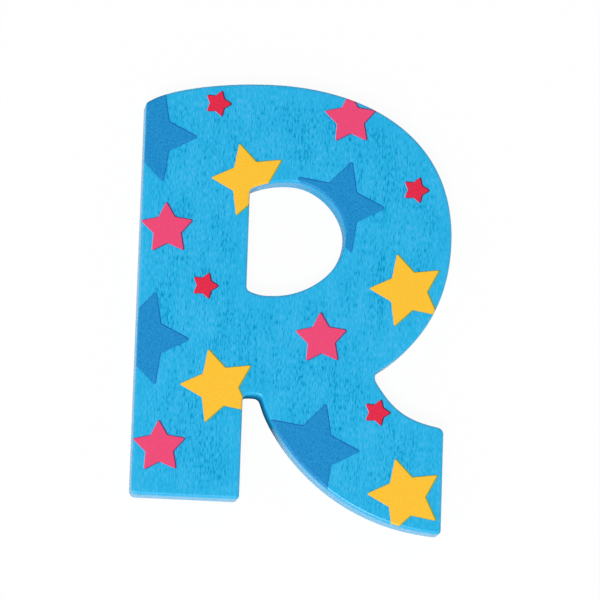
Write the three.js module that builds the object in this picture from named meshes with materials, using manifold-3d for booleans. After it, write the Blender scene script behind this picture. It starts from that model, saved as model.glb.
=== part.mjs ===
// Wooden letter R for a child's door: five-ply board cut to the letter, painted sky blue,
// with raised five-pointed stars printed on its face.
// Millimetres. The letter lies on its back: X runs to its right, Y up its stem, Z out of its face.

import * as THREE from 'three';
import { mergeVertices } from 'three/addons/utils/BufferGeometryUtils.js';
import Module from 'manifold-3d';

// Outside of the letter, measured from the foot of the stem's left edge
const stemWidth = 21.7;
const crownAcross = 26.3;
const crownHeight = 84.9;
const shoulderDrop = 5.3;
const bowlAcross = 63.1;
const bowlDrop = 30.3;
const waistAcross = 47.7;
const waistHeight = 26.5;
const legAcross = 62.5;
const legHeight = 16.2;
const legDrop = 5.2;
const notchWidth = 3.7;
const notchHeight = 21.1;

// Counter, the hole inside the bowl, with its crest and floor at a share of its width
// and its widest place at a share of its height
const bowlWidth = 21.7;
const crownDepth = 20;
const counterFloorHeight = 41.5;
const counterTopFall = 1.95;
const counterFloorRise = 1;
const counterTopShare = 0.442;
const counterFloorShare = 0.244;
const counterSideShare = 0.543;

// Sweeps: heading in degrees and pull, as a share of the chord, where each one leaves and arrives
const legInside = { leave: -78, leavePull: 0.142, arrive: -2.4, arrivePull: 0.533 };
const legOutside = { leave: 170, leavePull: 0.41, arrive: 120, arrivePull: 0.477 };
const bowlUnderside = { leave: 30, leavePull: 0.275, arrive: 90, arrivePull: 0.462 };
const bowlTop = { leave: 90, leavePull: 0.455, arrive: 180, arrivePull: 0.395 };
const crownFall = { leave: 180, leavePull: 0.405, arrive: 221, arrivePull: 0.173 };
const counterFloorLeft = { leave: -25, leavePull: 0.61, arrive: 0, arrivePull: 0.16 };
const counterFloorRight = { leave: 0, leavePull: 0.388, arrive: 90, arrivePull: 0.357 };
const counterTopRight = { leave: 90, leavePull: 0.333, arrive: 180, arrivePull: 0.376 };
const counterTopLeft = { leave: 180, leavePull: 0.11, arrive: 206, arrivePull: 0.537 };

// Corner radii
const stemHeelRadius = 1.3;
const stemToeRadius = 0.7;
const notchRadius = 1.2;
const legTipRadius = 0.7;
const legTopRadius = 1.3;
const waistRadius = 1.6;
const shoulderRadius = 1;
const counterRadius = 1.1;

// Board: two face veneers, two crossbands and a core, with the outer arrises sanded round
const faceVeneerThickness = 0.9;
const crossbandThickness = 1.4;
const corePlyThickness = 1.4;
const arrisRadius = 0.6;
const paintColour = 0x38b4e7;
const paintRoughness = 0.55;

// Print: how far the ink stands up, and each kind of star with the heading of its first tip
const inkThickness = 0.1;
const inkRoughness = 0.4;
const starTips = 5;
const starKinds = {
  red: {
    colour: 0xeb304a,
    heading: 1,
    tipReach: 3,
    tipRadius: 0.3,
    hollowReach: 1.7,
    hollowRadius: 0.3,
  },
  pink: {
    colour: 0xed4d78,
    heading: 93.7,
    tipReach: 5.7,
    tipRadius: 0.3,
    hollowReach: 3,
    hollowRadius: 0.3,
  },
  yellow: {
    colour: 0xfcc53a,
    heading: 35.4,
    tipReach: 8,
    tipRadius: 0.25,
    hollowReach: 4.1,
    hollowRadius: 0.2,
  },
  dark_blue: {
    colour: 0x1b8ac9,
    heading: 1.3,
    tipReach: 10.1,
    tipRadius: 0.35,
    hollowReach: 5.1,
    hollowRadius: 0.4,
  },
};

// Fineness of the facets
const facetLength = 2.4;
const cornerFacets = 4;
const arrisFacets = 4;

const wasm = await Module();
wasm.setup();

// Points of the plan
const stemHeel = new THREE.Vector2(0, 0);
const stemToe = new THREE.Vector2(stemWidth, 0);
const notchCorner = new THREE.Vector2(stemWidth, notchHeight);
const legRoot = new THREE.Vector2(stemWidth + notchWidth, notchHeight);
const legTip = new THREE.Vector2(legAcross, -legDrop);
const legTop = new THREE.Vector2(legAcross, legHeight);
const waist = new THREE.Vector2(waistAcross, waistHeight);
const bowlSide = new THREE.Vector2(bowlAcross, crownHeight - bowlDrop);
const crown = new THREE.Vector2(crownAcross, crownHeight);
const shoulder = new THREE.Vector2(0, crownHeight - shoulderDrop);
const counterWidth = bowlAcross - bowlWidth - stemWidth;
const counterTopHeight = crownHeight - crownDepth;
const counterSideHeight = THREE.MathUtils.lerp(counterFloorHeight, counterTopHeight, counterSideShare);
const counterLow = new THREE.Vector2(stemWidth, counterFloorHeight + counterFloorRise);
const counterFloor = new THREE.Vector2(stemWidth + counterFloorShare * counterWidth, counterFloorHeight);
const counterSide = new THREE.Vector2(stemWidth + counterWidth, counterSideHeight);
const counterTop = new THREE.Vector2(stemWidth + counterTopShare * counterWidth, counterTopHeight);
const counterHigh = new THREE.Vector2(stemWidth, counterTopHeight - counterTopFall);

// Stars of the print: kind, place, the plan point each is set out from, and its centre from there
const stars = [
  { kind: 'dark_blue', place: 'shoulder', from: shoulder, across: 0.8, up: -6.7 },
  { kind: 'dark_blue', place: 'bowl', from: counterSide, across: -2, up: 6.2 },
  { kind: 'dark_blue', place: 'stem', from: stemHeel, across: 0.7, up: 31.5 },
  { kind: 'dark_blue', place: 'leg', from: legRoot, across: 10.3, up: -10.5 },
  { kind: 'yellow', place: 'counter', from: counterHigh, across: -0.1, up: 1.9 },
  { kind: 'yellow', place: 'bowl', from: bowlSide, across: -8.7, up: -10.7 },
  { kind: 'yellow', place: 'notch', from: notchCorner, across: -4.9, up: 1.4 },
  { kind: 'yellow', place: 'foot', from: legTip, across: -7.3, up: 7.4 },
  { kind: 'pink', place: 'crown', from: crown, across: 15.4, up: -6.3 },
  { kind: 'pink', place: 'stem', from: stemHeel, across: 5.3, up: 54 },
  { kind: 'pink', place: 'waist', from: waist, across: -10.5, up: 6.7 },
  { kind: 'pink', place: 'heel', from: stemHeel, across: 5.4, up: 9.7 },
  { kind: 'red', place: 'crown', from: crown, across: -11.7, up: -4.6 },
  { kind: 'red', place: 'bowl', from: bowlSide, across: -7.6, up: 10.1 },
  { kind: 'red', place: 'stem', from: stemHeel, across: 13.3, up: 42.8 },
  { kind: 'red', place: 'leg', from: waist, across: 1.2, up: -7.7 },
];

function along(heading, length) {
  const angle = THREE.MathUtils.degToRad(heading);
  return new THREE.Vector2(length * Math.cos(angle), length * Math.sin(angle));
}

function straight(from, to, radius) {
  return { curve: new THREE.LineCurve(from, to), radius, facets: 1 };
}

function sweep(from, to, { leave, leavePull, arrive, arrivePull }, radius = 0) {
  const chord = from.distanceTo(to);
  const leaving = from.clone().add(along(leave, leavePull * chord));
  const arriving = to.clone().sub(along(arrive, arrivePull * chord));
  const curve = new THREE.CubicBezierCurve(from, leaving, arriving, to);
  return { curve, radius, facets: Math.ceil(curve.getLength() / facetLength) };
}

// Points round a closed run of edges, with the corner at each edge's start rounded to its radius
function roundedOutline(edges) {
  const cuts = edges.map(({ curve, radius }, index) => {
    const turn = edges.at(index - 1).curve.getTangent(1).angleTo(curve.getTangent(0));
    return { length: radius * Math.tan(turn / 2), pull: (4 / 3) * radius * Math.tan(turn / 4) };
  });
  return edges.flatMap(({ curve, facets }, index) => {
    const nextIndex = (index + 1) % edges.length;
    const next = edges[nextIndex].curve;
    const cut = cuts[nextIndex];
    const first = cuts[index].length / curve.getLength();
    const last = 1 - cut.length / curve.getLength();
    const points = [];
    for (let facet = 0; facet < facets; facet += 1) {
      points.push(curve.getPointAt(THREE.MathUtils.lerp(first, last, facet / facets)));
    }
    if (cut.length > 0) {
      const nextFirst = cut.length / next.getLength();
      const start = curve.getPointAt(last);
      const end = next.getPointAt(nextFirst);
      const startPull = start.clone().addScaledVector(curve.getTangentAt(last), cut.pull);
      const endPull = end.clone().addScaledVector(next.getTangentAt(nextFirst), -cut.pull);
      const corner = new THREE.CubicBezierCurve(start, startPull, endPull, end);
      points.push(...corner.getPoints(cornerFacets).slice(0, -1));
    }
    return points;
  });
}

const outsidePoints = roundedOutline([
  straight(stemHeel, stemToe, stemHeelRadius),
  straight(stemToe, notchCorner, stemToeRadius),
  straight(notchCorner, legRoot, notchRadius),
  sweep(legRoot, legTip, legInside, notchRadius),
  straight(legTip, legTop, legTipRadius),
  sweep(legTop, waist, legOutside, legTopRadius),
  sweep(waist, bowlSide, bowlUnderside, waistRadius),
  sweep(bowlSide, crown, bowlTop),
  sweep(crown, shoulder, crownFall),
  straight(shoulder, stemHeel, shoulderRadius),
]);
const counterPoints = roundedOutline([
  sweep(counterLow, counterFloor, counterFloorLeft, counterRadius),
  sweep(counterFloor, counterSide, counterFloorRight),
  sweep(counterSide, counterTop, counterTopRight),
  sweep(counterTop, counterHigh, counterTopLeft),
  straight(counterHigh, counterLow, counterRadius),
]);
const letterShape = new THREE.Shape(outsidePoints);
letterShape.holes.push(new THREE.Path(counterPoints));
const planBox = new THREE.Box2().setFromPoints(outsidePoints);
const planSize = planBox.getSize(new THREE.Vector2());
const planCentre = planBox.getCenter(new THREE.Vector2());

function solidOf(geometry) {
  const bare = geometry.clone();
  bare.deleteAttribute('normal');
  bare.deleteAttribute('uv');
  const welded = mergeVertices(bare);
  return new wasm.Manifold(new wasm.Mesh({
    numProp: 3,
    vertProperties: new Float32Array(welded.attributes.position.array),
    triVerts: new Uint32Array(welded.index.array),
  }));
}

function geometryOf(solid) {
  const { vertProperties, triVerts } = solid.getMesh();
  const geometry = new THREE.BufferGeometry();
  geometry.setAttribute('position', new THREE.BufferAttribute(vertProperties, 3));
  geometry.setIndex(new THREE.BufferAttribute(triVerts, 1));
  geometry.computeVertexNormals();
  return geometry;
}

// An inner ply, square to its edge
function innerPly(thickness) {
  return new THREE.ExtrudeGeometry(letterShape, { depth: thickness, bevelEnabled: false });
}

// A face veneer with its lower face on Z = 0, and its arris rounded on the board's front or back
function faceVeneer(isFront) {
  const roundedBoard = new THREE.ExtrudeGeometry(letterShape, {
    depth: faceVeneerThickness,
    bevelThickness: arrisRadius,
    bevelSize: arrisRadius,
    bevelOffset: -arrisRadius,
    bevelSegments: arrisFacets,
  });
  const wasteDepth = faceVeneerThickness + 2 * arrisRadius;
  const waste = new THREE.BoxGeometry(2 * planSize.x, 2 * planSize.y, wasteDepth);
  const wasteTop = isFront ? arrisRadius : faceVeneerThickness - arrisRadius + wasteDepth;
  waste.translate(planCentre.x, planCentre.y, wasteTop - wasteDepth / 2);
  const veneer = geometryOf(solidOf(roundedBoard).subtract(solidOf(waste)));
  veneer.translate(0, 0, isFront ? -arrisRadius : arrisRadius);
  return veneer;
}

function starOutline({ tipReach, hollowReach, tipRadius, hollowRadius, heading }) {
  const corners = [];
  for (let tip = 0; tip < starTips; tip += 1) {
    const tipHeading = heading + (360 / starTips) * tip;
    corners.push({ point: along(tipHeading, tipReach), radius: tipRadius });
    corners.push({ point: along(tipHeading + 180 / starTips, hollowReach), radius: hollowRadius });
  }
  return roundedOutline(corners.map(({ point, radius }, index) => {
    const next = corners[(index + 1) % corners.length].point;
    return straight(point, next, radius);
  }));
}

// The flat of the face, which the ink keeps to: the letter's plan inside its arris
const printedFlat = solidOf(new THREE.ExtrudeGeometry(letterShape, {
  depth: inkThickness,
  bevelThickness: inkThickness,
  bevelSize: 0,
  bevelOffset: -arrisRadius,
  bevelSegments: 1,
}));

function starPrint({ kind, from, across, up }) {
  const shape = new THREE.Shape(starOutline(starKinds[kind]));
  const whole = new THREE.ExtrudeGeometry(shape, { depth: inkThickness, bevelEnabled: false });
  whole.translate(from.x + across, from.y + up, 0);
  return geometryOf(solidOf(whole).intersect(printedFlat));
}

function finish(color, roughness) {
  return new THREE.MeshStandardMaterial({ color, roughness, metalness: 0 });
}

// Plies from the back of the board to its front
const board = new THREE.Group();
let boardThickness = 0;

function layPly(name, geometry, thickness) {
  const ply = new THREE.Mesh(geometry, finish(paintColour, paintRoughness));
  ply.name = name;
  ply.position.z = boardThickness;
  boardThickness += thickness;
  board.add(ply);
}

layPly('back_veneer', faceVeneer(false), faceVeneerThickness);
layPly('back_crossband', innerPly(crossbandThickness), crossbandThickness);
layPly('core_ply', innerPly(corePlyThickness), corePlyThickness);
layPly('front_crossband', innerPly(crossbandThickness), crossbandThickness);
layPly('front_veneer', faceVeneer(true), faceVeneerThickness);

// Stars on the front veneer
const print = new THREE.Group();
print.position.z = boardThickness;
for (const star of stars) {
  const ink = new THREE.Mesh(starPrint(star), finish(starKinds[star.kind].colour, inkRoughness));
  ink.name = `${star.kind}_star_${star.place}`;
  print.add(ink);
}

// The letter lies with the middle of its plan over the origin
const letter = new THREE.Group();
letter.position.set(-planCentre.x, -planCentre.y, 0);
letter.add(board, print);

export default letter;
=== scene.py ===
# Wooden letter R: painted plywood board with raised ink stars on its face
import math

import bpy
from mathutils import Matrix, Vector
from mathutils.bvhtree import BVHTree
from mathutils.geometry import intersect_line_line_2d


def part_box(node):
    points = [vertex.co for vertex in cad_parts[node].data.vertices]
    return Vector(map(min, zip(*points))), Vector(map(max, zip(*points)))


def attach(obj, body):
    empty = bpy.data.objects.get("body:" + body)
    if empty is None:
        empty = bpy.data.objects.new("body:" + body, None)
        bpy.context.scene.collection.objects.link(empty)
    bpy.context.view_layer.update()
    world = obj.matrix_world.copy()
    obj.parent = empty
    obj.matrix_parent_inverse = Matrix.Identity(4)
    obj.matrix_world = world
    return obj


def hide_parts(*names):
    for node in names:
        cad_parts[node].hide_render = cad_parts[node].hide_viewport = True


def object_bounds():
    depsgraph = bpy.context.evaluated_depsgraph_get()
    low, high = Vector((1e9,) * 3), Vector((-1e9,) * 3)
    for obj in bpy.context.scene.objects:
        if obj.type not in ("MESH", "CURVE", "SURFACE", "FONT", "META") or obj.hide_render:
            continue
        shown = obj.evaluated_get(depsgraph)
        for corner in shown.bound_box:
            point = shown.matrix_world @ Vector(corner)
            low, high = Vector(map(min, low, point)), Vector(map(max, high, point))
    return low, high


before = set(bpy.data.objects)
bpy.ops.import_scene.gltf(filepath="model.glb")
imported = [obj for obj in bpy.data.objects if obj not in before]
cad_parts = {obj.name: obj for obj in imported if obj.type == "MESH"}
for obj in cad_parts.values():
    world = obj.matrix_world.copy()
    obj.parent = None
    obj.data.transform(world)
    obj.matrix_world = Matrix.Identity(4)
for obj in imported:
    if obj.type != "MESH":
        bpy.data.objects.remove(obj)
cadLow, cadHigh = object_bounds()
print("frame loaded:", len(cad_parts), "nodes")

millimetre = 0.001


# Camera, looking down on the face from a little below and to the left

viewpoint = {
    "target": (1.34, 1.54, 3.0),    # mm, what the middle of the picture shows
    "tilt": 11.8,                   # degrees off square to the face
    "swing": -33.0,                 # degrees round from the foot of the letter
    "roll": -1.9,
    "distance": 900.0,              # mm
    "lens": 267.5,
    "sensor": 36.0,
    "nearest": 10.0,                # mm
}


def placeCamera():
    tilt = math.radians(viewpoint["tilt"])
    swing = math.radians(viewpoint["swing"])
    back = Vector((math.sin(swing) * math.sin(tilt), -math.cos(swing) * math.sin(tilt), math.cos(tilt)))
    right = Vector((0, 1, 0)).cross(back).normalized()
    up = back.cross(right)
    turn = Matrix((right, up, back)).transposed() @ Matrix.Rotation(math.radians(-viewpoint["roll"]), 3, "Z")
    target = Vector(viewpoint["target"])
    place = (target + back * viewpoint["distance"]) * millimetre
    bpy.ops.object.camera_add(location=place, rotation=turn.to_euler())
    camera = bpy.context.object
    camera.data.lens = viewpoint["lens"]
    camera.data.sensor_width = viewpoint["sensor"]
    camera.data.clip_start = viewpoint["nearest"] * millimetre
    bpy.context.scene.camera = camera


placeCamera()
print("camera placed")


# Modelling helpers: work goes on in millimetres, and a finished piece is brought back to metres

modelling = {
    "mergeWithin": 0.001,           # mm
    "flatAngle": 0.1,               # degrees, faces that turn less are one flat face
    "smoothAngle": 40,              # degrees, edges that turn less are smooth
    "flatNormal": 0.99,             # least upright part of the normal of a flat face
    "wallNormal": 0.5,              # most upright part of the normal of a wall
}


def focusOn(piece):
    bpy.ops.object.select_all(action="DESELECT")
    piece.select_set(True)
    bpy.context.view_layer.objects.active = piece


def plainName(node):
    first, *rest = node.split("_")
    return first + "".join(word.capitalize() for word in rest)


def copyOfNode(node, name):
    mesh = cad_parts[node].data.copy()
    mesh.materials.clear()
    mesh.transform(Matrix.Scale(1 / millimetre, 4))
    piece = bpy.data.objects.new(name, mesh)
    bpy.context.scene.collection.objects.link(piece)
    focusOn(piece)
    bpy.ops.object.mode_set(mode="EDIT")
    bpy.ops.mesh.select_all(action="SELECT")
    bpy.ops.mesh.remove_doubles(threshold=modelling["mergeWithin"])
    bpy.ops.mesh.dissolve_limited(angle_limit=math.radians(modelling["flatAngle"]))
    bpy.ops.object.mode_set(mode="OBJECT")
    return piece


def copyOfPiece(piece, name):
    copied = bpy.data.objects.new(name, piece.data.copy())
    bpy.context.scene.collection.objects.link(copied)
    focusOn(copied)
    return copied


def selectFaces(piece, isWanted):
    bpy.ops.object.mode_set(mode="EDIT")
    bpy.ops.mesh.select_mode(type="FACE")
    bpy.ops.mesh.select_all(action="DESELECT")
    bpy.ops.object.mode_set(mode="OBJECT")
    for face in piece.data.polygons:
        face.select = isWanted(face)
    bpy.ops.object.mode_set(mode="EDIT")


def facesUp(face):
    return face.normal.z > modelling["flatNormal"]


def facesDown(face):
    return face.normal.z < -modelling["flatNormal"]


def dropSlivers(piece, thickness):
    focusOn(piece)
    bpy.ops.object.mode_set(mode="EDIT")
    bpy.ops.mesh.select_all(action="SELECT")
    bpy.ops.mesh.dissolve_degenerate(threshold=thickness)
    bpy.ops.object.mode_set(mode="OBJECT")


def smoothOff(piece):
    bpy.ops.object.shade_smooth_by_angle(angle=math.radians(modelling["smoothAngle"]))
    weighted = piece.modifiers.new("evenNormals", "WEIGHTED_NORMAL")
    weighted.keep_sharp = True
    bpy.ops.object.modifier_apply(modifier=weighted.name)


def finishPiece(piece, node, material):
    focusOn(piece)
    smoothOff(piece)
    piece.data.transform(Matrix.Scale(millimetre, 4))
    if material:
        piece.data.materials.append(material)
    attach(piece, "root")
    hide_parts(node)


# Materials

def addNode(material, kind, label, **sockets):
    node = material.node_tree.nodes.new(kind)
    node.label = label
    for name, value in sockets.items():
        socket = node.inputs[name.replace("_", " ")]
        if isinstance(value, bpy.types.NodeSocket):
            material.node_tree.links.new(value, socket)
        else:
            socket.default_value = value
    return node


def sRgb(red, green, blue):
    def linear(level):
        share = level / 255
        return share / 12.92 if share <= 0.04045 else ((share + 0.055) / 1.055) ** 2.4
    return (linear(red), linear(green), linear(blue), 1)


def newMaterial(name):
    material = bpy.data.materials.new(name)
    material.use_nodes = True
    return material, material.node_tree.nodes["Principled BSDF"]


def link(material, fromSocket, toSocket):
    material.node_tree.links.new(fromSocket, toSocket)


def grainPattern(material, cell, label, detail):
    place = addNode(material, "ShaderNodeTexCoord", "place")
    stretched = addNode(material, "ShaderNodeMapping", label + " stretch", Vector=place.outputs["Object"],
                        Scale=tuple(1 / (side * millimetre) for side in cell))
    return addNode(material, "ShaderNodeTexNoise", label, Vector=stretched.outputs["Vector"],
                   Scale=1.0, Detail=detail)


def ramp(material, value, low, high, label):
    spread = addNode(material, "ShaderNodeMapRange", label, Value=value, From_Min=low, From_Max=high)
    spread.interpolation_type = "SMOOTHSTEP"
    return spread.outputs["Result"]


# The mix node's inputs 6 and 7 and its output 2 are the ones for colours
def blendColour(material, share, first, second, label):
    mixed = material.node_tree.nodes.new("ShaderNodeMix")
    mixed.label = label
    mixed.data_type = "RGBA"
    for socket, value in zip((mixed.inputs[0], mixed.inputs[6], mixed.inputs[7]), (share, first, second)):
        if isinstance(value, bpy.types.NodeSocket):
            link(material, value, socket)
        else:
            socket.default_value = value
    return mixed.outputs[2]


def combine(material, how, label, *values):
    sums = material.node_tree.nodes.new("ShaderNodeMath")
    sums.label = label
    sums.operation = how
    for socket, value in zip(sums.inputs, values):
        if isinstance(value, bpy.types.NodeSocket):
            link(material, value, socket)
        else:
            socket.default_value = value
    return sums.outputs["Value"]


wood = {
    "figure": {                                 # sizes in mm, across and along the grain
        "pores": {"size": (0.26, 1.1), "share": 0.54, "detail": 1.0},
        "streaks": {"size": (0.45, 6.0), "share": 0.24, "detail": 2.0},
        "patches": {"size": (5.0, 10.0), "share": 0.22, "detail": 2.0},
    },
    "poreFrom": 0.52,
    "poreTo": 0.625,
    "paleFrom": 0.48,
    "paleTo": 0.41,
    "calmWidth": 5.5,               # mm, the pores fill with paint towards the edges
    "calmShare": 0.2,
}


def alongGrain(size, grain):
    across, along = size
    return tuple(along if axis == grain else across for axis in "XYZ")


def woodFigure(material, grain):
    figure = 0.0
    for label, layer in wood["figure"].items():
        noise = grainPattern(material, alongGrain(layer["size"], grain), label, layer["detail"])
        figure = combine(material, "MULTIPLY_ADD", label + " laid in",
                         noise.outputs["Fac"], layer["share"], figure)
    pores = ramp(material, figure, wood["poreFrom"], wood["poreTo"], "pores")
    pale = ramp(material, figure, wood["paleFrom"], wood["paleTo"], "pale wood")
    return pores, pale


def calmNearEdges(material, pores):
    distance = addNode(material, "ShaderNodeAttribute", "distance from the edge")
    distance.attribute_name = "edgeDistance"
    inside = ramp(material, distance.outputs["Fac"], 0.0, wood["calmWidth"], "away from the edge")
    least = wood["calmShare"]
    strength = combine(material, "MULTIPLY_ADD", "pore strength", inside, 1 - least, least)
    return combine(material, "MULTIPLY", "pores by place", pores, strength)


def sinkPores(material, shader, pores, depth):
    bump = addNode(material, "ShaderNodeBump", "pore relief", Height=pores, Distance=depth * millimetre)
    bump.invert = True
    link(material, bump.outputs["Normal"], shader.inputs["Normal"])


paint = {
    "blue": sRgb(41, 181, 233),
    "paleBlue": sRgb(66, 187, 239),
    "poreBlue": sRgb(0, 150, 202),
    "roughness": 0.25,
    "gloss": 0.35,
    "poreDepth": 0.01,              # mm
}
recesses = {                        # sizes in mm, walls in a recess mirror less of the white floor, and low in the notch they carry a painted shadow
    "flat": 0.97,                   # upright part of the normal from which the arris counts as flat
    "wall": 0.6,                    # and up to which it counts as wall
    "notch": {"spot": (-7.4, -19.4, 0.0), "near": 6.5, "far": 14.0, "glossLost": 1.0},
    "counter": {"spot": (5.0, 14.0, 0.0), "near": 9.0, "far": 19.0, "glossLost": 0.94},
    "shade": sRgb(0, 62, 100),      # painted shadow, low down in the narrow of the notch
    "shadeFrom": 7.5,               # heights between which the painted shadow grows
    "shadeTo": -1.0,
}


def wallsIn(material, recess):
    place = addNode(material, "ShaderNodeTexCoord", "place").outputs["Object"]
    plan = addNode(material, "ShaderNodeVectorMath", "plan in mm", Vector=place)
    plan.operation = "MULTIPLY"
    plan.inputs[1].default_value = (1 / millimetre, 1 / millimetre, 0)
    reach = addNode(material, "ShaderNodeVectorMath", "reach from the spot", Vector=plan.outputs["Vector"])
    reach.operation = "DISTANCE"
    reach.inputs[1].default_value = recess["spot"]
    face = addNode(material, "ShaderNodeNewGeometry", "face")
    turn = addNode(material, "ShaderNodeSeparateXYZ", "turn", Vector=face.outputs["Normal"]).outputs["Z"]
    flatness = combine(material, "ABSOLUTE", "flatness", turn)
    isNear = ramp(material, reach.outputs["Value"], recess["far"], recess["near"], "near the spot")
    isWall = ramp(material, flatness, recesses["flat"], recesses["wall"], "wall")
    return combine(material, "MULTIPLY", "wall of the recess", isNear, isWall)


# Painted shadow: low down on the walls in the narrow of the notch, where shade falls, the paint is darkened
def paintShadowLowDown(material, inNotch):
    place = addNode(material, "ShaderNodeTexCoord", "place").outputs["Object"]
    height = addNode(material, "ShaderNodeSeparateXYZ", "height", Vector=place).outputs["Z"]
    start, end = (recesses[name] * millimetre for name in ("shadeFrom", "shadeTo"))
    isLow = ramp(material, height, start, end, "low")
    return combine(material, "MULTIPLY", "shade of the wall", inNotch, isLow)


def lessGloss(material, inNotch, inCounter):
    lost = combine(material, "MULTIPLY", "lost in the notch", inNotch, recesses["notch"]["glossLost"])
    allLost = combine(material, "MULTIPLY_ADD", "lost in all",
                      inCounter, recesses["counter"]["glossLost"], lost)
    return combine(material, "MULTIPLY_ADD", "gloss", allLost, -paint["gloss"], paint["gloss"])


def paintedWood(name, grain):
    material, shader = newMaterial(name)
    figurePores, pale = woodFigure(material, grain)
    pores = calmNearEdges(material, figurePores)
    coat = blendColour(material, pale, paint["blue"], paint["paleBlue"], "coat")
    colour = blendColour(material, pores, coat, paint["poreBlue"], "coat and pores")
    inNotch = wallsIn(material, recesses["notch"])
    inCounter = wallsIn(material, recesses["counter"])
    # Painted shadow: low in the notch the paint is blended towards a dark blue
    shade = paintShadowLowDown(material, inNotch)
    withPaintedShadow = blendColour(material, shade, colour, recesses["shade"], "coat in the notch")
    link(material, withPaintedShadow, shader.inputs["Base Color"])
    shader.inputs["Roughness"].default_value = paint["roughness"]
    link(material, lessGloss(material, inNotch, inCounter), shader.inputs["Specular IOR Level"])
    sinkPores(material, shader, pores, paint["poreDepth"])
    return material


inks = {
    "red": {"colour": sRgb(229, 33, 69), "pore": sRgb(222, 28, 66), "pale": sRgb(233, 44, 73)},
    "pink": {"colour": sRgb(239, 71, 118), "pore": sRgb(235, 67, 115), "pale": sRgb(241, 76, 121)},
    "yellow": {"colour": sRgb(254, 196, 47), "pore": sRgb(252, 192, 40), "pale": sRgb(254, 199, 58)},
    "dark_blue": {"colour": sRgb(12, 140, 204), "pore": sRgb(0, 124, 193), "pale": sRgb(36, 147, 210)},
}
inkFinish = {
    "roughness": 0.5,
    "gloss": 0.3,
    "poreDepth": 0.005,             # mm
    "speckSize": (0.28, 0.42),      # mm, across and along the grain
    "speckDetail": 2.0,
    "speckFrom": 0.54,
    "speckTo": 0.66,
    "paleFrom": 0.47,
    "paleTo": 0.36,
    "underprint": sRgb(170, 196, 238),
    "cover": {"red": 0.12, "pink": 0.12, "yellow": 0.25, "dark_blue": 0.0},     # straight on the blue paint
}


def inkMaterial(name, colour, pore, pale):
    material, shader = newMaterial(name)
    cell = alongGrain(inkFinish["speckSize"], "Y")
    specks = grainPattern(material, cell, "specks", inkFinish["speckDetail"]).outputs["Fac"]
    pores = ramp(material, specks, inkFinish["speckFrom"], inkFinish["speckTo"], "pores")
    paleWood = ramp(material, specks, inkFinish["paleFrom"], inkFinish["paleTo"], "pale wood")
    coat = blendColour(material, paleWood, colour, pale, "ink")
    shown = blendColour(material, pores, coat, pore, "ink over pores")
    link(material, shown, shader.inputs["Base Color"])
    shader.inputs["Roughness"].default_value = inkFinish["roughness"]
    shader.inputs["Specular IOR Level"].default_value = inkFinish["gloss"]
    sinkPores(material, shader, pores, inkFinish["poreDepth"])
    return material


def overBlue(colour, cover):
    return tuple(light * (cover + (1 - cover) * under) for light, under in zip(colour, paint["blue"]))


def starInk(kind):
    ink = inks[kind]
    return inkMaterial(plainName(kind) + "Ink", ink["colour"], ink["pore"], ink["pale"])


def rimInk(kind):
    ink = inks[kind]
    shades = [overBlue(ink[shade], inkFinish["cover"][kind]) for shade in ("colour", "pore", "pale")]
    return inkMaterial(plainName(kind) + "InkRim", *shades)


alongStem = paintedWood("paintAlongStem", "Y")
acrossStem = paintedWood("paintAcrossStem", "X")
underprint = inkMaterial("underprint", inkFinish["underprint"], paint["blue"], inkFinish["underprint"])
print("materials made")


# Board: the outline is drawn as a curve, filled and rounded, then sliced into its plies

board = {
    "outlineNode": "core_ply",
    "straightFrom": 3.0,        # mm, a longer side is a straight run of the outline
    "facetUpTo": 0.38,          # mm, a shorter side is a facet of a tight corner and stays flat
    "curveSteps": 4,
    "arrisRadius": 0.6,         # mm
    "arrisSteps": 5,
    "jointWidth": 0.04,         # mm, hairline at the edge between two plies
    "jointSteps": 2,
    "cutSlack": 0.01,           # mm, a ply that ends this near the face needs no cut
    "plies": ["back_veneer", "back_crossband", "core_ply", "front_crossband", "front_veneer"],
    "crossbands": ["back_crossband", "front_crossband"],
    "faceVeneers": ["back_veneer", "front_veneer"],
    "faceGrid": 1.5,            # mm between the cuts that carry the distance from the edge
    "sliver": 0.002,            # mm, a thinner face between the cuts is dropped
    "slot": "blue_painted_wood",
}


def outlineOf(node, name):
    outline = copyOfNode(node, name)
    selectFaces(outline, facesDown)
    bpy.ops.mesh.region_to_loop()
    bpy.ops.mesh.select_all(action="INVERT")
    bpy.ops.mesh.delete(type="EDGE")
    bpy.ops.mesh.select_all(action="SELECT")
    bpy.ops.mesh.delete(type="ONLY_FACE")
    bpy.ops.object.mode_set(mode="OBJECT")
    outline.data.transform(Matrix.Translation((0, 0, -outline.data.vertices[0].co.z)))
    bpy.ops.object.convert(target="CURVE")
    return outline


def drawOutline():
    outline = outlineOf(board["outlineNode"], "letterOutline")
    bpy.ops.object.mode_set(mode="EDIT")
    bpy.ops.curve.select_all(action="SELECT")
    bpy.ops.curve.spline_type_set(type="BEZIER")
    bpy.ops.curve.handle_type_set(type="AUTOMATIC")
    bpy.ops.object.mode_set(mode="OBJECT")
    for spline in outline.data.splines:
        points = spline.bezier_points
        for index, point in enumerate(points):
            before = points[index - 1]
            length = (point.co - before.co).length
            if length > board["straightFrom"] or length < board["facetUpTo"]:
                before.handle_right_type = "VECTOR"
                point.handle_left_type = "VECTOR"
    print("outline drawn:", [len(spline.bezier_points) for spline in outline.data.splines])
    return outline


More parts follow.
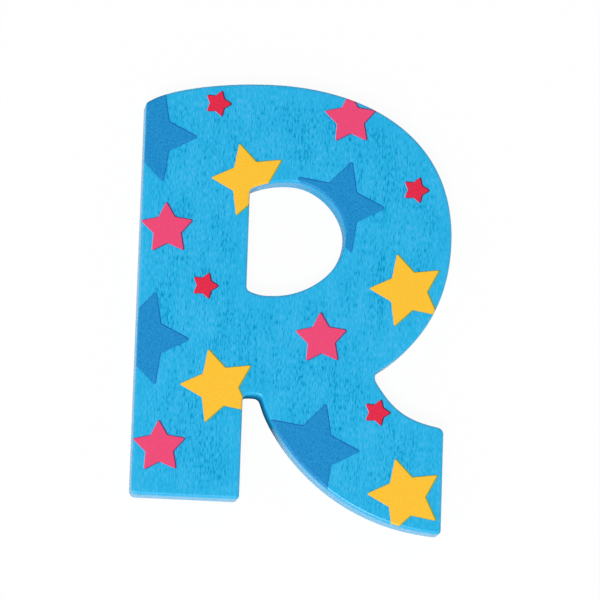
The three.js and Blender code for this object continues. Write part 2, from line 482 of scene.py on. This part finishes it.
def solidFrom(outline, name, low, high, arris, inset):
    solid = copyOfPiece(outline, name)
    curve = solid.data
    curve.dimensions = "2D"
    curve.fill_mode = "BOTH"
    curve.resolution_u = board["curveSteps"]
    curve.bevel_depth = arris
    curve.bevel_resolution = board["arrisSteps"]
    curve.offset = -inset
    curve.extrude = (high - low) / 2 - arris
    bpy.ops.object.convert(target="MESH")
    solid.location.z = (low + high) / 2
    bpy.ops.object.transform_apply(location=True, rotation=False, scale=False)
    bpy.ops.object.mode_set(mode="EDIT")
    bpy.ops.mesh.select_all(action="SELECT")
    bpy.ops.mesh.remove_doubles(threshold=modelling["mergeWithin"])
    bpy.ops.mesh.normals_make_consistent(inside=False)
    bpy.ops.object.mode_set(mode="OBJECT")
    return solid


def slicePly(whole, node, boardLow, boardHigh):
    low, high = (corner.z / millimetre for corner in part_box(node))
    ply = copyOfPiece(whole, plainName(node))
    for height, isTop in ((low, False), (high, True)):
        if boardLow + board["cutSlack"] < height < boardHigh - board["cutSlack"]:
            bpy.ops.object.mode_set(mode="EDIT")
            bpy.ops.mesh.select_all(action="SELECT")
            bpy.ops.mesh.bisect(plane_co=(0, 0, height), plane_no=(0, 0, 1), use_fill=True,
                                clear_inner=not isTop, clear_outer=isTop)
            selectFaces(ply, facesUp if isTop else facesDown)
            bpy.ops.mesh.region_to_loop()
            bpy.ops.mesh.bevel(offset=board["jointWidth"], segments=board["jointSteps"], affect="EDGES")
            bpy.ops.object.mode_set(mode="OBJECT")
    return ply


def isWallFace(face):
    return abs(face.normal.z) < modelling["wallNormal"]


def wallsOf(whole):
    corners = [vertex.co for vertex in whole.data.vertices]
    walls = [list(face.vertices) for face in whole.data.polygons if isWallFace(face)]
    return BVHTree.FromPolygons(corners, walls)


def gridVeneer(veneer):
    bpy.ops.object.mode_set(mode="EDIT")
    for axis in (0, 1):
        across = Vector((axis == 0, axis == 1, 0))
        reach = max(abs(corner[axis]) for corner in (cadLow, cadHigh)) / millimetre
        cuts = int(reach / board["faceGrid"])
        for cut in range(-cuts, cuts + 1):
            bpy.ops.mesh.select_all(action="SELECT")
            bpy.ops.mesh.bisect(plane_co=across * cut * board["faceGrid"], plane_no=across)
    bpy.ops.object.mode_set(mode="OBJECT")
    dropSlivers(veneer, board["sliver"])


def measureEdges(veneer, walls, middle):
    distances = veneer.data.attributes.new("edgeDistance", "FLOAT", "POINT")
    for vertex, shown in zip(veneer.data.vertices, distances.data):
        place, normal, index, distance = walls.find_nearest((vertex.co.x, vertex.co.y, middle))
        shown.value = distance


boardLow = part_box(board["plies"][0])[0].z / millimetre
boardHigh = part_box(board["plies"][-1])[1].z / millimetre
boardMiddle = (boardLow + boardHigh) / 2
arris = board["arrisRadius"]
outline = drawOutline()
wholeBoard = solidFrom(outline, "wholeBoard", boardLow, boardHigh, arris, arris)
walls = wallsOf(wholeBoard)
for node in board["plies"]:
    ply = slicePly(wholeBoard, node, boardLow, boardHigh)
    if node in board["faceVeneers"]:
        gridVeneer(ply)
        measureEdges(ply, walls, boardMiddle)
    finishPiece(ply, node, acrossStem if node in board["crossbands"] else alongStem)
cap = slicePly(wholeBoard, board["plies"][-1], boardLow, boardHigh)
cap.name = "cap"
bpy.data.objects.remove(outline)
bpy.data.objects.remove(wholeBoard)
print("board sliced into", len(board["plies"]), "plies")


# Stars: a pale underprint, then the colour, which lies a little to its right. Along the rim, where the
# colour misses the underprint, it lies straight on the blue paint and goes dark. A dark-blue star has no
# underprint, and its ink is darker along its rim, most on its right and upper sides. At the letter's edge
# the ink wraps over the arris.

star = {
    "height": 0.1,                  # mm
    "underprintHeight": 0.06,       # mm
    "wrapDepth": 0.14,              # mm, how far down the arris the ink reaches
    "spare": 0.4,                   # mm, what the plan runs on past the letter's edge
    "edgeSlack": 0.06,              # mm
    "leastSlope": 0.4,              # a side that runs along the edge is carried on as if this steep
    "overlap": 1.0,                 # mm, how far a cutter reaches past what it cuts
    "sliver": 0.00003,              # mm, a thinner face where layers meet is dropped
    "rims": {                       # mm, choke of the ink inside the rim, and its shift from the plan
        "dark_blue": {"choke": 0.08, "shift": (-0.07, -0.06, 0.0), "isUnderprinted": False},
        "yellow": {"choke": 0.09, "shift": (-0.17, -0.03, 0.0), "isUnderprinted": True},
        "pink": {"choke": 0.09, "shift": (-0.17, -0.03, 0.0), "isUnderprinted": True},
        "red": {"choke": 0.09, "shift": (-0.17, -0.03, 0.0), "isUnderprinted": True},
    },
}


def nearestWall(corner):
    place, normal, index, distance = walls.find_nearest((corner.x, corner.y, boardMiddle))
    return place.to_2d(), distance


def isAtEdge(corner):
    return nearestWall(corner)[1] < arris + star["edgeSlack"]


def outwards(corner):
    return (nearestWall(corner)[0] - corner).normalized()


# The star's own side, from the corner before, runs on until it clears the letter's edge
def runOn(corner, before):
    along = (corner - before).normalized()
    return corner + along * (arris + star["spare"]) / max(along.dot(outwards(corner)), star["leastSlope"])


def isBetween(corner, start, end, other, otherEnd):
    return ((end - start).cross(corner - start) * (end - start).cross(other - start) > 0
            and (otherEnd - other).cross(corner - other) * (otherEnd - other).cross(start - other) > 0)


# What takes the place of a run of corners where the flat of the face cuts the star off
def carryOn(before, run, after):
    first, last = runOn(run[0], before), runOn(run[-1], after)
    tip = intersect_line_line_2d(run[0], first, run[-1], last)
    if tip:
        return [tip]
    moved = [corner + outwards(corner) * (arris + star["spare"]) for corner in run[1:-1]]
    return [first] + [corner for corner in moved if isBetween(corner, run[0], first, run[-1], last)] + [last]


def fullPlan(corners):
    inner = next(index for index, corner in enumerate(corners) if not isAtEdge(corner))
    turned = corners[inner:] + corners[:inner + 1]
    plan, run = [], []
    for corner in turned:
        if isAtEdge(corner):
            run.append(corner)
            continue
        if run:
            plan += carryOn(plan[-1], run, corner)
            run = []
        plan.append(corner)
    return plan[:-1]


def starPlan(node):
    plan = outlineOf(node, plainName(node) + "Plan")
    splines = plan.data.splines
    corners = fullPlan([point.co.to_2d() for point in splines[0].points])
    splines.clear()
    spline = splines.new("POLY")
    spline.points.add(len(corners) - 1)
    for point, corner in zip(spline.points, corners):
        point.co = (corner.x, corner.y, 0, 1)
    spline.use_cyclic_u = True
    return plan


def trim(piece, cutter, how):
    focusOn(piece)
    cut = piece.modifiers.new("trim", "BOOLEAN")
    cut.operation = how
    cut.solver = "EXACT"
    cut.object = cutter
    bpy.ops.object.modifier_apply(modifier=cut.name)


def raisedCap(name, height):
    raised = copyOfPiece(cap, name)
    raised.data.transform(Matrix.Translation((0, 0, height)))
    return raised


def layOnCap(film, raised):
    trim(film, raised, "INTERSECT")
    trim(film, cap, "DIFFERENCE")


inkCap = raisedCap("inkCap", star["height"])
underprintCap = raisedCap("underprintCap", star["underprintHeight"])


def printStar(node, rim, ink, inkRim):
    name = plainName(node)
    plan = starPlan(node)
    overlap = star["overlap"]
    low, high = boardHigh - star["wrapDepth"], boardHigh + overlap
    film = solidFrom(plan, name, low, high, 0, 0)
    layOnCap(film, inkCap)
    inside = solidFrom(plan, "inside", low - overlap, high + overlap, 0, rim["choke"])
    inside.data.transform(Matrix.Translation(rim["shift"]))
    rimmed = copyOfPiece(film, name + "Rim")
    trim(film, inside, "INTERSECT")
    trim(rimmed, inside, "DIFFERENCE")
    layers = [(film, ink), (rimmed, inkRim)]
    helpers = [plan, inside]
    if rim["isUnderprinted"]:
        whole = solidFrom(plan, "whole", low - overlap, high + overlap, 0, 0)
        fringe = solidFrom(plan, name + "Fringe", low, high, 0, rim["choke"])
        fringe.data.transform(Matrix.Translation(rim["shift"]))
        trim(fringe, whole, "DIFFERENCE")
        layOnCap(fringe, underprintCap)
        layers.append((fringe, underprint))
        helpers.append(whole)
    for helper in helpers:
        bpy.data.objects.remove(helper)
    for layer, material in layers:
        dropSlivers(layer, star["sliver"])
        layer.data.materials.append(material)
    bpy.ops.object.select_all(action="DESELECT")
    for layer, material in layers:
        layer.select_set(True)
    bpy.context.view_layer.objects.active = film
    bpy.ops.object.join()
    return film


for kind, rim in star["rims"].items():
    ink, inkRim = starInk(kind), rimInk(kind)
    for node in sorted(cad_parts):
        if node.startswith(kind + "_star_"):
            finishPiece(printStar(node, rim, ink, inkRim), node, None)
    print(kind, "stars printed")
for helper in (cap, inkCap, underprintCap):
    bpy.data.objects.remove(helper)


# Floor, world and lamps

studio = {
    "floorSize": 4.0,           # metres
    "floorGap": 0.00002,        # metres, from the letter's back to the floor
    "floorRoughness": 0.9,
    "floorWhite": (0.95, 0.95, 0.95, 1),
    "floorDull": (0.45, 0.45, 0.45, 1),     # where light bounces off it onto the walls
    "floorGlow": 0.95,          # share of white paper where the floor is looked at
    "sides": 0.80,              # brightness of the studio's sides
    "sidesTop": 0.40,           # height on a unit sphere up to which the bright sides reach
    "ceilingFrom": 0.80,
    "ceiling": 0.05,
    "keyLevel": 0.70,           # light that the key lamp gives the face
    "keyAzimuth": 246.0,        # degrees round from the letter's right
    "keyElevation": 59.0,       # degrees above the face
    "keyDistance": 3.0,         # metres
    "keySize": 1.2,
}


def layFloor():
    bpy.ops.mesh.primitive_plane_add(size=studio["floorSize"], location=(0, 0, cadLow.z - studio["floorGap"]))
    floor = bpy.context.object
    floor.name = "floor"
    material, shader = newMaterial("floorWhite")
    shader.inputs["Roughness"].default_value = studio["floorRoughness"]
    shader.inputs["Specular IOR Level"].default_value = 0.0
    glow = addNode(material, "ShaderNodeEmission", "white paper", Strength=1.0)
    path = addNode(material, "ShaderNodeLightPath", "kind of ray")
    isSeen = path.outputs["Is Camera Ray"]
    isMirrored = combine(material, "ADD", "mirrored or seen through",
                         path.outputs["Is Glossy Ray"], path.outputs["Is Transmission Ray"])
    tone = blendColour(material, combine(material, "ADD", "looked at or mirrored", isSeen, isMirrored),
                       studio["floorDull"], studio["floorWhite"], "dull where light bounces")
    link(material, tone, shader.inputs["Base Color"])
    share = combine(material, "MULTIPLY", "paper share", isSeen, studio["floorGlow"])
    mixed = addNode(material, "ShaderNodeMixShader", "paper with shadow", Fac=share)
    link(material, shader.outputs["BSDF"], mixed.inputs[1])
    link(material, glow.outputs["Emission"], mixed.inputs[2])
    link(material, mixed.outputs["Shader"], material.node_tree.nodes["Material Output"].inputs["Surface"])
    floor.data.materials.append(material)


def lightWorld():
    world = bpy.data.worlds.new("studio")
    world.use_nodes = True
    bpy.context.scene.world = world
    background = world.node_tree.nodes["Background"]
    background.inputs["Color"].default_value = (1, 1, 1, 1)
    place = addNode(world, "ShaderNodeTexCoord", "direction")
    height = addNode(world, "ShaderNodeSeparateXYZ", "height", Vector=place.outputs["Generated"])
    sides = addNode(world, "ShaderNodeMapRange", "bright sides, dim ceiling", Value=height.outputs["Z"],
                    From_Min=studio["sidesTop"], From_Max=studio["ceilingFrom"],
                    To_Min=studio["sides"], To_Max=studio["ceiling"]).outputs["Result"]
    path = addNode(world, "ShaderNodeLightPath", "kind of ray")
    gap = combine(world, "SUBTRACT", "short of white", 1.0, sides)
    strength = combine(world, "MULTIPLY_ADD", "white where seen", path.outputs["Is Camera Ray"], gap, sides)
    link(world, strength, background.inputs["Strength"])


def hangLamp():
    azimuth = math.radians(studio["keyAzimuth"])
    elevation = math.radians(studio["keyElevation"])
    distance = studio["keyDistance"]
    away = Vector((math.cos(azimuth) * math.cos(elevation), math.sin(azimuth) * math.cos(elevation),
                   math.sin(elevation)))
    aim = (-away).to_track_quat("-Z", "Y")
    bpy.ops.object.light_add(type="AREA", location=away * distance, rotation=aim.to_euler())
    lamp = bpy.context.object
    lamp.name = "keyLamp"
    lamp.data.size = studio["keySize"]
    lamp.data.energy = studio["keyLevel"] * (math.pi * distance) ** 2 / math.sin(elevation)


layFloor()
lightWorld()
hangLamp()
bpy.context.scene.view_settings.view_transform = "Standard"
print("studio lit")
